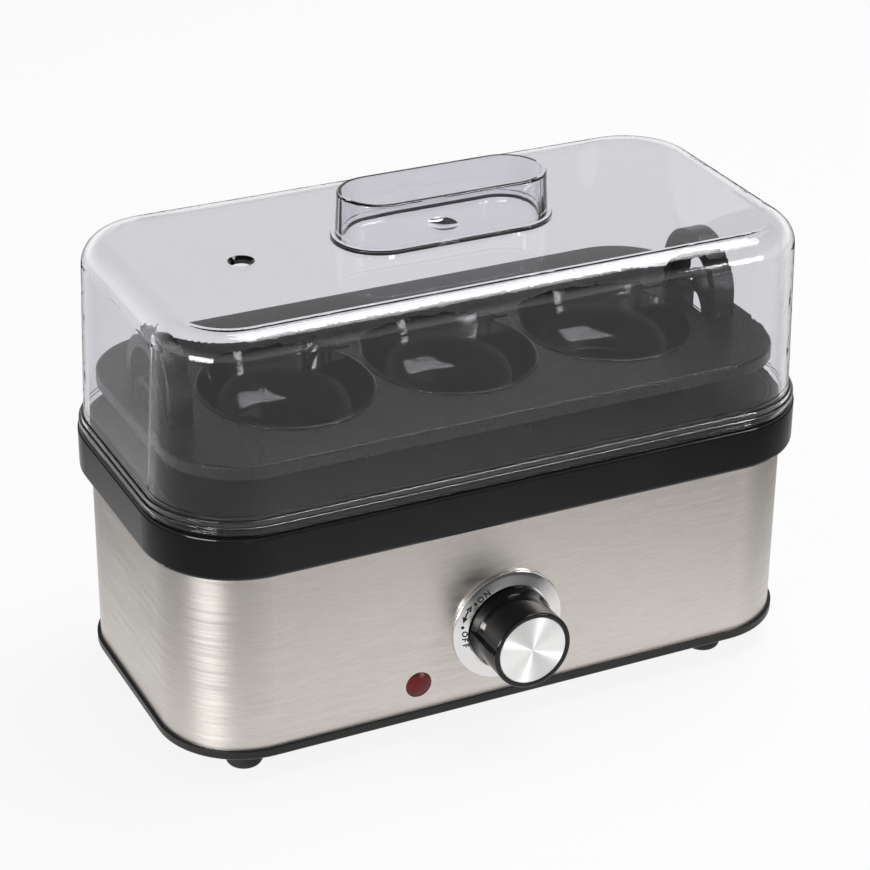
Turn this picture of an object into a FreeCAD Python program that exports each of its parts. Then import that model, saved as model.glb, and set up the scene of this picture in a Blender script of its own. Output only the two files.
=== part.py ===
import FreeCAD, Part
import math
import os

os.makedirs("parts", exist_ok=True)

# Electric egg boiler with a poaching tray. Millimetres, +Z up, +X along the long side.
# The knob and lamp face -Y. Z = 0 is the table under the feet. Everything is drawn about
# the middle of the housing and moved along Y on export, so that the origin ends up under
# the middle of the whole object, knob included.

# ---------------------------------------------------------------- driving dimensions
# housing sleeve
body_length = 220.0
body_width = 108.0
body_corner = 27.4
sleeve_wall = 0.8
sleeve_face = 62.9          # height of steel between base lip and collar
sleeve_engagement = 8.0     # length hidden inside the collar

# base pan and feet
foot_height = 8.0
foot_diameter = 12.0
foot_end_inset = 25.9       # foot centre inside the housing's end
foot_side_inset = 11.8      # foot centre inside the housing's front and rear
foot_centre_x = -4.4        # the four feet lie this far off the housing's middle
foot_edge_radius = 2.2
foot_peg_radius = 2.8
foot_barb = 0.6             # how far the barb stands out of the peg
base_lip_height = 3.0
base_lip_overhang = 1.2
base_upstand_height = 4.5
base_upstand_wall = 2.0
vent_slot_length = 26.0
vent_slot_width = 3.0
vent_slot_pitch = 9.0
vent_slot_count = 5
vent_column_pitch = 45.0    # two columns: one in the middle, one to its left

# collar
collar_height = 15.4
collar_overhang = 3.9
collar_edge_radius = 1.6
collar_ledge_drop = 4.0     # ledge below the collar's top face
collar_ledge_thickness = 3.0
collar_lip_height = 2.2
collar_channel_wall = 2.0   # inner wall behind the sleeve

# posts and screws that pull the collar down on the base
post_end_inset = 10.5       # post centre inside the housing's end
post_side_inset = 17.0
post_radius = 3.8
post_joint_height = 20.0    # base boss height above the base floor
body_screw_radius = 1.5
body_screw_head_radius = 2.9
body_screw_head_height = 1.8
body_screw_length = 30.0

# water dish, seal and dish screws
dish_flange_inset = 4.25    # flange edge inside the housing's outer face
dish_flange_reach = 9.75    # flange beyond the well's inner wall
dish_well_draft = 5.0       # how much narrower the floor is on each side
dish_depth = 14.0
dish_wall = 1.2
dish_corner = 16.0
seal_thickness = 0.8
dish_screw_radius = 1.3
dish_screw_head_radius = 2.3
dish_screw_head_height = 1.5
dish_screw_length = 8.0
dish_screw_inset = 4.9
dish_boss_radius = 3.0
dish_boss_height = 6.0

# heating parts under the dish
element_radius = 3.3
element_end_inset = 30.0    # middle of the element inside the dish well's inner wall
element_side_inset = 13.0
element_loop_corner = 24.0
element_gap = 30.0          # opening of the loop at the rear
element_pin_radius = 1.5
element_pin_length = 9.0
clamp_bar_width = 14.0
clamp_bar_thickness = 1.5
clamp_strip_length = 100.0
clamp_strip_width = 12.0
clamp_strip_thickness = 0.8
shield_end_inset = 8.0      # shield edge inside the dish well's inner wall
shield_side_inset = 4.0
shield_thickness = 0.6
shield_skirt = 4.4
stud_radius = 2.0
stud_nut_across = 7.0
stud_nut_height = 3.2
stud_tail = 1.5
earth_tag_thickness = 0.8
earth_tag_radius = 5.0
earth_tag_length = 15.0
thermostat_radius = 8.0
thermostat_blade_reach = 5.0
thermostat_blade_rise = 1.0
thermal_end_inset = 16.0    # thermostat and fuse inside the clamp strip's two ends
blade_width = 4.8
blade_thickness = 0.8
thermal_fuse_radius = 2.2
thermal_fuse_length = 13.0
thermal_fuse_lead = 5.0
lead_hole_radius = 2.4      # holes in the heat shield for the leads
lead_offset = 10.5          # leads pass the clamp strip at this distance from its middle

# egg rack
rack_plate_thickness = 1.8
rack_rise = 2.7             # rack top above the collar's top face
rack_rim_wall = 2.0
rack_side_clearance = 0.75
rack_corner_inset = 4.4     # how much tighter its corners are than the housing's
egg_hole_radius = 18.5
egg_bridge = 10.0           # plate left between two holes of a row across the width
egg_rib_width = 1.5
egg_rib_height = 2.2

# poaching tray and its cups
tray_end_inset = 5.9        # tray edge inside the lid's outer face
tray_side_inset = 5.4
tray_corner = 26.0
tray_thickness = 2.0
tray_rim_depth = 4.4
tray_rim_wall = 1.8
tray_edge_radius = 0.9
cup_end_margin = 6.75       # outer cups' edge inside the arch straps' inner side
cup_gap = 0.6               # between neighbouring cups
cup_side_margin = 19.0      # cups' edge inside the tray's edge, front and rear alike
cup_centre_x = 1.0
cup_centre_y = -3.0
cup_wall = 1.0
cup_floor_thickness = 1.2
cup_floor_shrink = 5.0      # how much smaller the floor's radius is than the rim's
cup_floor_fillet = 13.0
cup_depth = 16.9            # from the tray's top face to the cup's underside
cup_bead_height = 0.5

# arch handles on tray and rack
arch_end_inset = 10.0       # middle of the straps inside the tray's end
arch_strap = 7.5            # strap width along X
tray_arch_radius = 16.5
tray_arch_rise = 23.4       # top of the arch above the tray
tray_arch_thickness = 3.8
rack_arch_radius = 11.5
rack_arch_rise = 26.5       # top of the arch above the rack
rack_arch_thickness = 2.8
arch_slot_clearance = 0.8

# lid
lid_wall = 2.3
lid_bottom_inset = 2.0      # lid wall inside the collar's outer face
lid_end_draft = 2.9         # how much the lid leans in at each end, bottom to top
lid_side_draft = 1.95
lid_top_corner = 24.8
lid_height = 62.9
lid_edge_radius = 8.7
lid_rim_heights = (2.4, 1.6)
lid_rim_overhangs = (1.5, 0.7)
vent_radius = 3.3
vent_sink_radius = 4.3
vent_sink_depth = 0.9
vent_x = -68.6
ring_length = 70.5
ring_width = 26.5
ring_height = 15.5
ring_wall = 2.2
ring_draft = 0.8
ring_step_overhang = 1.4
ring_step_height = 1.4
ring_edge_radius = 0.8
gate_radius = 4.8
gate_depth = 1.1            # depth of the round dimple over the moulding gate

# knob, dial ring and switch
knob_x = -2.0
knob_rise = 27.5            # axis above the underside of the base
dial_radius = 19.35
dial_inner_radius = 14.83
dial_thickness = 2.2
dial_floor_thickness = 0.8
dial_rim_thickness = 1.0    # the printed face slopes back to this at its outer edge
dial_edge_radius = 0.4
knob_length = 17.6
knob_radius = 13.3
knob_skirt_radius = 14.2
knob_skirt_length = 1.6
knob_skirt_blend = 4.0
knob_cavity_radius = 9.4
knob_cavity_depth = 5.5
knob_hub_radius = 5.0
knob_edge_radius = 0.6
knob_pointer_angle = 172.0
knob_pointer_height = 1.3
knob_pointer_width = 3.2
cap_radius = 11.8
cap_thickness = 0.8
cap_recess = 0.3
shaft_radius = 3.0
shaft_flat = 0.9
shaft_in_knob = 12.0
shaft_in_switch = 8.0
bush_radius = 4.4
switch_size = 23.0
switch_depth = 17.0
switch_blade_length = 7.0
washer_thickness = 0.5
washer_radius = 7.0
bush_nut_across = 12.0
bush_nut_height = 2.2
clip_thickness = 0.6

# pilot lamp
lamp_x = -33.0
lamp_rise = 12.5            # axis above the underside of the base
lamp_radius = 4.5
lamp_dome = 1.3
lamp_stem_radius = 3.4
lamp_stem_length = 8.0
lamp_holder_radius = 4.4
lamp_holder_length = 14.0
lamp_clip_radius = 6.0
lamp_clip_thickness = 0.6

# rear inlet, terminal block and wires
gland_end_inset = 40.0      # inlet axis inside the housing's right end
gland_rise = 18.0           # axis above the underside of the base
gland_bore_radius = 3.7
gland_neck_radius = 6.0
gland_flange_radius = 8.0
gland_flange_thickness = 2.5
gland_inner_length = 5.0
block_length = 32.0
block_width = 17.0
block_height = 12.0
block_end_inset = 72.0      # middle of the block inside the housing's right end and rear
block_rear_inset = 32.0
block_ways = 3
block_entry_depth = 5.0
block_entry_spacing = 4.4
block_screw_radius = 1.8
block_screw_length = 4.4
block_screw_sink = 0.6
block_edge_radius = 1.0
wire_radius = 1.1
wire_bend = 3.0
level_switched = 11.0       # each lead's level, below the heat shield
level_element = 15.0
level_neutral = 19.0
level_earth = 24.0
lead_turn = 5.0             # steps by which the leads keep clear of each other

# clearances
seat_gap = 0.3              # between pieces that part company
fit_gap = 0.05              # between fixed or running round pieces
panel_gap = 0.3             # between a shell and what slides over it
hole_gap = 0.4              # drilled hole over the radius of what passes through

# ---------------------------------------------------------------- derived levels
base_z = foot_height
floor_z = base_z + base_lip_height
knob_z = base_z + knob_rise
lamp_z = base_z + lamp_rise
gland_z = base_z + gland_rise
sleeve_top_visible_z = floor_z + sleeve_face
sleeve_top_z = sleeve_top_visible_z + sleeve_engagement
collar_top_z = sleeve_top_visible_z + collar_height
ledge_z = collar_top_z - collar_ledge_drop
ledge_under_z = ledge_z - collar_ledge_thickness
flange_under_z = ledge_z + seal_thickness
flange_top_z = flange_under_z + dish_wall
dish_floor_z = flange_top_z - dish_depth
dish_under_z = dish_floor_z - dish_wall
element_z = dish_under_z - fit_gap - element_radius
clamp_top_z = element_z - element_radius - fit_gap
strip_top_z = clamp_top_z - clamp_bar_thickness
shield_top_z = strip_top_z - clamp_strip_thickness
tag_top_z = shield_top_z - shield_thickness
stud_nut_top_z = tag_top_z - earth_tag_thickness
stud_nut_low_z = stud_nut_top_z - stud_nut_height
rack_top_z = collar_top_z + rack_rise
tray_top_z = rack_top_z + seat_gap + cup_depth
lid_low_z = collar_top_z + seat_gap
lid_top_z = lid_low_z + lid_height
post_joint_z = floor_z + post_joint_height

foot_x = body_length / 2 - foot_end_inset
foot_y = body_width / 2 - foot_side_inset
post_x = body_length / 2 - post_end_inset
post_y = body_width / 2 - post_side_inset
gland_x = body_length / 2 - gland_end_inset
dish_flange_length = body_length - 2 * dish_flange_inset
dish_flange_width = body_width - 2 * dish_flange_inset
dish_well_length = dish_flange_length - 2 * dish_flange_reach
dish_well_width = dish_flange_width - 2 * dish_flange_reach
shield_length = dish_well_length - 2 * shield_end_inset
shield_width = dish_well_width - 2 * shield_side_inset
thermostat_x = clamp_strip_length / 2 - thermal_end_inset
thermal_fuse_x = -thermostat_x
element_loop_length = dish_well_length - 2 * element_end_inset
element_loop_width = dish_well_width - 2 * element_side_inset
rack_corner = body_corner - rack_corner_inset
block_x = body_length / 2 - block_end_inset
block_y = body_width / 2 - block_rear_inset
front_y = -body_width / 2
rear_y = body_width / 2
collar_length = body_length + 2 * collar_overhang
collar_width = body_width + 2 * collar_overhang
collar_corner = body_corner + collar_overhang
lid_length = collar_length - 2 * lid_bottom_inset
lid_width = collar_width - 2 * lid_bottom_inset
lid_corner = collar_corner - lid_bottom_inset
lid_top_length = lid_length - 2 * lid_end_draft
lid_top_width = lid_width - 2 * lid_side_draft
tray_length = lid_length - 2 * tray_end_inset
tray_width = lid_width - 2 * tray_side_inset
arch_x = tray_length / 2 - arch_end_inset
cup_half_length = (arch_x - arch_strap / 2 - cup_end_margin - cup_gap) / 3
cup_half_width = tray_width / 2 - cup_side_margin
cup_pitch = 2 * cup_half_length + cup_gap
egg_column_spacing = cup_pitch
egg_row_spacing = 2 * egg_hole_radius + egg_bridge
dish_screw_x = egg_column_spacing / 2
knob_front_y = front_y - dial_floor_thickness - seat_gap - knob_length
shift_y = -(knob_front_y + collar_width / 2) / 2


# ---------------------------------------------------------------- shape helpers
def rounded_wire(length, width, corner, z):
    """Rounded rectangle about the Z axis at height z."""
    half_x = length / 2
    half_y = width / 2
    straight_x = half_x - corner
    straight_y = half_y - corner
    edges = []
    for centre_x, centre_y, start in ((straight_x, straight_y, 0), (-straight_x, straight_y, 90),
                                      (-straight_x, -straight_y, 180), (straight_x, -straight_y, 270)):
        points = []
        for turn in (0, 45, 90):
            angle = math.radians(start + turn)
            points.append(FreeCAD.Vector(centre_x + corner * math.cos(angle),
                                         centre_y + corner * math.sin(angle), z))
        if edges:
            edges.append(Part.LineSegment(edges[-1].valueAt(edges[-1].LastParameter), points[0]).toShape())
        edges.append(Part.Arc(*points).toShape())
    first = edges[0].valueAt(edges[0].FirstParameter)
    last = edges[-1].valueAt(edges[-1].LastParameter)
    edges.append(Part.LineSegment(last, first).toShape())
    return Part.Wire(edges)


def rounded_slab(length, width, corner, z_low, z_high):
    face = Part.Face(rounded_wire(length, width, corner, z_low))
    return face.extrude(FreeCAD.Vector(0, 0, z_high - z_low))


def tapered_slab(low, high, z_low, z_high):
    """Block between two rounded rectangles, each given as (length, width, corner)."""
    return Part.makeLoft([rounded_wire(*low, z_low), rounded_wire(*high, z_high)], True, True)


def inset(size, amount):
    """The rounded rectangle that lies amount inside another one."""
    length, width, corner = size
    return (length - 2 * amount, width - 2 * amount, corner - amount)


def round_z(radius, z_low, z_high, x=0.0, y=0.0):
    return Part.makeCylinder(radius, z_high - z_low, FreeCAD.Vector(x, y, z_low))


def round_y(radius, y_low, y_high, x, z):
    return Part.makeCylinder(radius, y_high - y_low, FreeCAD.Vector(x, y_low, z), FreeCAD.Vector(0, 1, 0))


def block(x_low, x_high, y_low, y_high, z_low, z_high):
    return Part.makeBox(x_high - x_low, y_high - y_low, z_high - z_low, FreeCAD.Vector(x_low, y_low, z_low))


def hexagon_prism(across_flats, height, base, direction):
    """Hexagonal prism from base along direction, which is +Z or +Y."""
    reach = across_flats / math.sqrt(3)
    points = []
    for step in range(7):
        angle = math.radians(60 * step)
        if direction.z:
            points.append(base + FreeCAD.Vector(reach * math.cos(angle), reach * math.sin(angle), 0))
        else:
            points.append(base + FreeCAD.Vector(reach * math.cos(angle), 0, reach * math.sin(angle)))
    return Part.Face(Part.makePolygon(points)).extrude(direction * height)


def turned_y(profile, x, z):
    """Solid of revolution about a line along Y; the profile is a list of (radius, y)."""
    points = [FreeCAD.Vector(x + radius, y, z) for radius, y in profile]
    face = Part.Face(Part.makePolygon(points + [points[0]]))
    return face.revolve(FreeCAD.Vector(x, 0, z), FreeCAD.Vector(0, 1, 0), 360)


def horizontal_edges(shape, z):
    """Edges of a shape that lie wholly at height z."""
    found = []
    for edge in shape.Edges:
        if abs(edge.BoundBox.ZMin - z) < 1e-4 and abs(edge.BoundBox.ZMax - z) < 1e-4:
            found.append(edge)
    return found


def edges_at_y(shape, y):
    found = []
    for edge in shape.Edges:
        if abs(edge.BoundBox.YMin - y) < 1e-4 and abs(edge.BoundBox.YMax - y) < 1e-4:
            found.append(edge)
    return found


def screw_up(x, y, z, head_radius, head_height, shank_radius, length):
    """Pan-head screw driven upwards; z is the underside of its head's bearing face."""
    head = round_z(head_radius, z - head_height, z, x, y)
    head = head.makeFillet(head_height * 0.45, horizontal_edges(head, z - head_height))
    slot = block(x - head_radius, x + head_radius, y - 0.3, y + 0.3, z - head_height, z - head_height * 0.55)
    return head.fuse(round_z(shank_radius, z, z + length, x, y)).cut(slot)


def screw_down(x, y, z, head_radius, head_height, shank_radius, length):
    """Pan-head screw driven downwards; z is its head's bearing face."""
    upward = screw_up(x, y, -z, head_radius, head_height, shank_radius, length)
    return upward.mirror(FreeCAD.Vector(0, 0, 0), FreeCAD.Vector(0, 0, 1))


def corners(x, y):
    return [(sign_x * x, sign_y * y) for sign_x in (-1, 1) for sign_y in (-1, 1)]


def tube_along(points, bend, radius):
    """Round tube through points, its corners rounded with arcs of radius bend."""
    edges = []
    start = points[0]
    for before, corner_point, after in zip(points, points[1:], points[2:]):
        back = (before - corner_point).normalize()
        ahead = (after - corner_point).normalize()
        half_angle = back.getAngle(ahead) / 2
        reach = bend / math.tan(half_angle)
        middle = (back + ahead).normalize() * (bend / math.sin(half_angle) - bend)
        arc_start = corner_point + back * reach
        arc_end = corner_point + ahead * reach
        edges.append(Part.LineSegment(start, arc_start).toShape())
        edges.append(Part.Arc(arc_start, corner_point + middle, arc_end).toShape())
        start = arc_end
    edges.append(Part.LineSegment(start, points[-1]).toShape())
    path = Part.Wire(edges)
    direction = (points[1] - points[0]).normalize()
    section = Part.Wire(Part.makeCircle(radius, points[0], direction))
    return path.makePipeShell([section], True, True)


def save(node, shape):
    """Write one node, moved so that the origin is under the middle of the object."""
    moved = shape.copy()
    moved.translate(FreeCAD.Vector(0, shift_y, 0))
    moved.exportStep("parts/" + node + ".step")


# ---------------------------------------------------------------- base
def base_size():
    return (body_length + 2 * base_lip_overhang, body_width + 2 * base_lip_overhang,
            body_corner + base_lip_overhang)


def sleeve_size():
    return (body_length, body_width, body_corner)


def make_base_pan():
    pan = rounded_slab(*base_size(), base_z, floor_z)
    pan = pan.makeFillet(1.0, horizontal_edges(pan, base_z))
    outside = inset(sleeve_size(), sleeve_wall + panel_gap)
    upstand = rounded_slab(*outside, floor_z, floor_z + base_upstand_height)
    upstand = upstand.cut(rounded_slab(*inset(outside, base_upstand_wall), floor_z,
                                       floor_z + base_upstand_height))
    pan = pan.fuse(upstand)
    for x, y in corners(post_x, post_y):
        pan = pan.fuse(round_z(post_radius, floor_z, post_joint_z, x, y))
    for x, y in corners(post_x, post_y):
        pan = pan.cut(round_z(body_screw_radius + fit_gap, base_z, post_joint_z, x, y))
        recess_top = base_z + body_screw_head_height + seat_gap
        pan = pan.cut(round_z(body_screw_head_radius + hole_gap, base_z, recess_top, x, y))
    for x, y in corners(foot_x, foot_y):
        pan = pan.cut(round_z(foot_peg_radius + fit_gap, base_z, floor_z, foot_centre_x + x, y))
    for number in range(vent_slot_count):
        y = (number - (vent_slot_count - 1) / 2) * vent_slot_pitch
        for x in (-vent_column_pitch, 0.0):
            slot = rounded_slab(vent_slot_length, vent_slot_width, vent_slot_width / 2 - 0.01, base_z, floor_z)
            slot.translate(FreeCAD.Vector(x, y, 0))
            pan = pan.cut(slot)
    return pan.removeSplitter()


def make_foot(x, y):
    """Soft round foot: a pad below the pan and a barbed peg through it."""
    pad = round_z(foot_diameter / 2, 0, base_z, x, y)
    pad = pad.makeFillet(foot_edge_radius, horizontal_edges(pad, 0))
    peg = round_z(foot_peg_radius, base_z, floor_z + 0.4, x, y)
    barb = Part.makeCone(foot_peg_radius + foot_barb, foot_peg_radius - foot_barb, 2.2,
                         FreeCAD.Vector(x, y, floor_z + fit_gap))
    return pad.fuse(peg).fuse(barb)


def make_body_screws():
    screws = []
    for x, y in corners(post_x, post_y):
        bearing = base_z + body_screw_head_height + seat_gap
        screws.append(screw_up(x, y, bearing, body_screw_head_radius, body_screw_head_height,
                               body_screw_radius, body_screw_length))
    return Part.makeCompound(screws)


# ---------------------------------------------------------------- housing and collar
def make_sleeve():
    outer = rounded_slab(*sleeve_size(), floor_z, sleeve_top_z)
    inner = rounded_slab(*inset(sleeve_size(), sleeve_wall), floor_z, sleeve_top_z)
    sleeve = outer.cut(inner)
    through = sleeve_wall * 3
    sleeve = sleeve.cut(round_y(bush_radius + fit_gap, front_y - through, front_y + through, knob_x, knob_z))
    sleeve = sleeve.cut(round_y(lamp_stem_radius + fit_gap, front_y - through, front_y + through,
                                lamp_x, lamp_z))
    return sleeve.cut(round_y(gland_neck_radius + fit_gap, rear_y - through, rear_y + through,
                              gland_x, gland_z))


def collar_size():
    return (collar_length, collar_width, collar_corner)


def recess_size():
    clearance = panel_gap
    return (dish_flange_length + 2 * clearance, dish_flange_width + 2 * clearance,
            rack_corner + clearance)


def ledge_opening_size():
    grow = dish_wall + 1.0
    return (dish_well_length + 2 * grow, dish_well_width + 2 * grow, dish_corner + grow)


def dish_screw_places():
    side = dish_flange_length / 2 - dish_screw_inset
    end = dish_flange_width / 2 - dish_screw_inset
    return [(-side, 0.0), (side, 0.0)] + corners(dish_screw_x, end)


def make_collar():
    """Moulded ring: outer wall over the sleeve, channel, ledge for the dish, lip for the lid."""
    outer = rounded_slab(*collar_size(), sleeve_top_visible_z, collar_top_z)
    rim_edges = horizontal_edges(outer, collar_top_z) + horizontal_edges(outer, sleeve_top_visible_z)
    collar = outer.makeFillet(collar_edge_radius, rim_edges)
    lip_outer = inset((lid_length, lid_width, lid_corner), lid_wall + 2 * seat_gap)
    collar = collar.fuse(rounded_slab(*lip_outer, ledge_z, collar_top_z + collar_lip_height))
    collar = collar.cut(rounded_slab(*recess_size(), ledge_z, collar_top_z + collar_lip_height))
    collar = collar.cut(rounded_slab(*ledge_opening_size(), sleeve_top_visible_z, ledge_z))
    channel_outer = inset(sleeve_size(), -panel_gap)
    channel_inner = inset(sleeve_size(), sleeve_wall + panel_gap)
    channel = rounded_slab(*channel_outer, sleeve_top_visible_z, sleeve_top_z + panel_gap)
    collar = collar.cut(channel.cut(rounded_slab(*channel_inner, sleeve_top_visible_z,
                                                 sleeve_top_z + panel_gap)))
    hollow = inset(channel_inner, collar_channel_wall)
    collar = collar.cut(rounded_slab(*hollow, sleeve_top_visible_z, ledge_under_z))
    for x, y in corners(post_x, post_y):
        collar = collar.fuse(round_z(post_radius, post_joint_z + fit_gap, ledge_under_z, x, y))
    for x, y in dish_screw_places():
        boss = round_z(dish_boss_radius, ledge_under_z - dish_boss_height, ledge_under_z, x, y)
        collar = collar.fuse(boss.cut(rounded_slab(*ledge_opening_size(), floor_z, ledge_z)))
    screw_top = base_z + body_screw_head_height + seat_gap + body_screw_length
    for x, y in corners(post_x, post_y):
        collar = collar.cut(round_z(body_screw_radius + fit_gap, post_joint_z, screw_top + 1.0, x, y))
    for x, y in dish_screw_places():
        bottom = ledge_z - dish_screw_length
        collar = collar.cut(round_z(dish_screw_radius + fit_gap, bottom, ledge_z, x, y))
    return collar.removeSplitter()


# ---------------------------------------------------------------- dish and heating parts
def dish_flange_size():
    return (dish_flange_length, dish_flange_width, rack_corner)


def make_dish():
    """Pressed water dish: flat flange and a tapered well with a rounded bottom edge."""
    well_top = (dish_well_length, dish_well_width, dish_corner)
    floor_size = inset(well_top, dish_well_draft)
    outer_top = inset(well_top, -dish_wall)
    outer_floor = inset(floor_size, -dish_wall)
    outer = tapered_slab(outer_floor, outer_top, dish_under_z, flange_under_z)
    outer = outer.makeFillet(3.0 + dish_wall, horizontal_edges(outer, dish_under_z))
    inner = tapered_slab(floor_size, well_top, dish_floor_z, flange_top_z)
    inner = inner.makeFillet(3.0, horizontal_edges(inner, dish_floor_z))
    dish = outer.fuse(rounded_slab(*dish_flange_size(), flange_under_z, flange_top_z)).cut(inner)
    for x, y in dish_screw_places():
        dish = dish.cut(round_z(dish_screw_radius + fit_gap, flange_under_z, flange_top_z, x, y))
    return dish.removeSplitter()


def make_dish_seal():
    seal = rounded_slab(*dish_flange_size(), ledge_z, flange_under_z)
    seal = seal.cut(rounded_slab(*ledge_opening_size(), ledge_z, flange_under_z))
    for x, y in dish_screw_places():
        seal = seal.cut(round_z(dish_screw_radius + fit_gap, ledge_z, flange_under_z, x, y))
    return seal


def make_dish_screws():
    screws = []
    for x, y in dish_screw_places():
        screws.append(screw_down(x, y, flange_top_z, dish_screw_head_radius, dish_screw_head_height,
                                 dish_screw_radius, dish_screw_length))
    return Part.makeCompound(screws)


def element_end(side):
    return FreeCAD.Vector(side * element_gap / 2, element_loop_width / 2, element_z)


def make_element():
    """Sheathed tube bent into a flat loop that is open at the rear."""
    half_x = element_loop_length / 2
    half_y = element_loop_width / 2
    route = [element_end(-1)]
    for x, y in ((-half_x, half_y), (-half_x, -half_y), (half_x, -half_y), (half_x, half_y)):
        route.append(FreeCAD.Vector(x, y, element_z))
    route.append(element_end(1))
    return tube_along(route, element_loop_corner, element_radius)


def make_element_pins():
    pins = []
    for side in (-1, 1):
        end = element_end(side)
        inward = FreeCAD.Vector(-side, 0, 0)
        pins.append(Part.makeCylinder(element_pin_radius, element_pin_length, end, inward))
    return Part.makeCompound(pins)


def make_stud():
    """Threaded stud welded under the middle of the dish."""
    return round_z(stud_radius, stud_nut_low_z - stud_tail, dish_under_z)


def stud_hole(z_low, z_high):
    return round_z(stud_radius + fit_gap, z_low, z_high)


def make_clamp_bar():
    reach = element_loop_width / 2 + 2 * element_radius
    bar = block(-clamp_bar_width / 2, clamp_bar_width / 2, -reach, element_loop_width / 2 - element_radius,
                strip_top_z, clamp_top_z)
    bar = bar.makeFillet(2.0, [edge for edge in bar.Edges if edge.BoundBox.ZLength > clamp_bar_thickness / 2])
    return bar.cut(stud_hole(strip_top_z, clamp_top_z))


def make_clamp_strip():
    strip = rounded_slab(clamp_strip_length, clamp_strip_width, 3.0, shield_top_z, strip_top_z)
    return strip.cut(stud_hole(shield_top_z, strip_top_z))


def make_heat_shield():
    """Sheet-steel tray under the element, turned down all round."""
    size = (shield_length, shield_width, dish_corner)
    plate = rounded_slab(*size, tag_top_z, shield_top_z)
    skirt_low = tag_top_z - shield_skirt
    skirt = rounded_slab(*size, skirt_low, shield_top_z)
    skirt = skirt.cut(rounded_slab(*inset(size, shield_thickness), skirt_low, shield_top_z))
    shield = plate.fuse(skirt).cut(stud_hole(tag_top_z, shield_top_z))
    for x, y in lead_places().values():
        shield = shield.cut(round_z(lead_hole_radius, tag_top_z, shield_top_z, x, y))
    return shield.removeSplitter()


def lead_places():
    """Where each lead comes up through the heat shield."""
    blade_y = thermostat_radius + thermostat_blade_reach * 0.6
    pin_x = element_gap / 2 - element_pin_length / 2
    fuse_reach = thermal_fuse_length / 2 + thermal_fuse_lead + 4.0
    return {"thermostat_front": (thermostat_x, -blade_y), "thermostat_rear": (thermostat_x, blade_y),
            "fuse_right": (thermal_fuse_x + fuse_reach, lead_offset),
            "fuse_left": (thermal_fuse_x - fuse_reach, lead_offset),
            "pin_left": (-pin_x, element_loop_width / 2), "pin_right": (pin_x, element_loop_width / 2)}


def make_earth_tag():
    eye = round_z(earth_tag_radius, stud_nut_top_z, tag_top_z)
    blade = block(-earth_tag_length, 0, -blade_width / 2, blade_width / 2, stud_nut_top_z, tag_top_z)
    return eye.fuse(blade).cut(stud_hole(stud_nut_top_z, tag_top_z)).removeSplitter()


def make_stud_nut():
    nut = hexagon_prism(stud_nut_across, stud_nut_height, FreeCAD.Vector(0, 0, stud_nut_low_z),
                        FreeCAD.Vector(0, 0, 1))
    return nut.cut(stud_hole(stud_nut_low_z, stud_nut_top_z))


def make_thermostat():
    """Snap-disc thermostat pressed up against the dish, with two side blades."""
    low = strip_top_z + fit_gap
    high = dish_under_z - fit_gap
    can = round_z(thermostat_radius, (low + high) / 2, high, thermostat_x)
    can = can.makeFillet(0.8, horizontal_edges(can, high))
    body = round_z(thermostat_radius - 1.0, low, (low + high) / 2, thermostat_x)
    shape = can.fuse(body)
    for side in (-1, 1):
        tip = side * (thermostat_radius + thermostat_blade_reach)
        root = side * thermostat_radius * 0.75
        blade_low = low + thermostat_blade_rise
        shape = shape.fuse(block(thermostat_x - blade_width / 2, thermostat_x + blade_width / 2,
                                 min(tip, root), max(tip, root), blade_low, blade_low + blade_thickness))
    return shape.removeSplitter()


def thermal_fuse_z():
    return strip_top_z + fit_gap + thermal_fuse_radius


def make_thermal_fuse():
    low_x = thermal_fuse_x - thermal_fuse_length / 2
    along = FreeCAD.Vector(1, 0, 0)
    can = Part.makeCylinder(thermal_fuse_radius, thermal_fuse_length,
                            FreeCAD.Vector(low_x, 0, thermal_fuse_z()), along)
    lead = Part.makeCylinder(0.5, thermal_fuse_length + 2 * thermal_fuse_lead,
                             FreeCAD.Vector(low_x - thermal_fuse_lead, 0, thermal_fuse_z()), along)
    return can.fuse(lead)


# ---------------------------------------------------------------- egg rack and poaching tray
def arch(centre_x, radius, thickness, top_z, low_z):
    """Inverted U of flat strap, its plane across the object."""
    x = centre_x - arch_strap / 2
    along = FreeCAD.Vector(1, 0, 0)
    centre = FreeCAD.Vector(x, 0, top_z - radius)
    outside = Part.makeCylinder(radius, arch_strap, centre, along)
    outside = outside.fuse(block(x, x + arch_strap, -radius, radius, low_z, top_z - radius))
    outside = outside.common(block(x, x + arch_strap, -radius, radius, low_z, top_z))
    inside = Part.makeCylinder(radius - thickness, arch_strap, centre, along)
    inside = inside.fuse(block(x, x + arch_strap, -radius + thickness, radius - thickness, low_z,
                               top_z - radius))
    return outside.cut(inside).removeSplitter()


def rack_size():
    gap = rack_side_clearance - panel_gap
    return inset(recess_size(), gap)


def egg_places():
    places = []
    for column in (-1, 0, 1):
        for row in (-1, 1):
            places.append((column * egg_column_spacing, row * egg_row_spacing / 2))
    return places


def make_egg_rack():
    """Moulded plate with six ribbed egg holes, a rim that stands on the dish, two arches."""
    plate_under = rack_top_z - rack_plate_thickness
    rim_low = flange_top_z + seat_gap
    plate = rounded_slab(*rack_size(), rim_low, rack_top_z)
    plate = plate.makeFillet(0.8, horizontal_edges(plate, rack_top_z))
    rack = plate.cut(rounded_slab(*inset(rack_size(), rack_rim_wall), rim_low, plate_under))
    for x, y in egg_places():
        rack = rack.fuse(round_z(egg_hole_radius + egg_rib_width, plate_under - egg_rib_height, plate_under,
                                 x, y))
    for side in (-1, 1):
        rack = rack.fuse(arch(side * arch_x, rack_arch_radius, rack_arch_thickness,
                              rack_top_z + rack_arch_rise, plate_under))
    for x, y in egg_places():
        rack = rack.cut(round_z(egg_hole_radius, rim_low, rack_top_z, x, y))
    return rack.removeSplitter()


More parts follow.
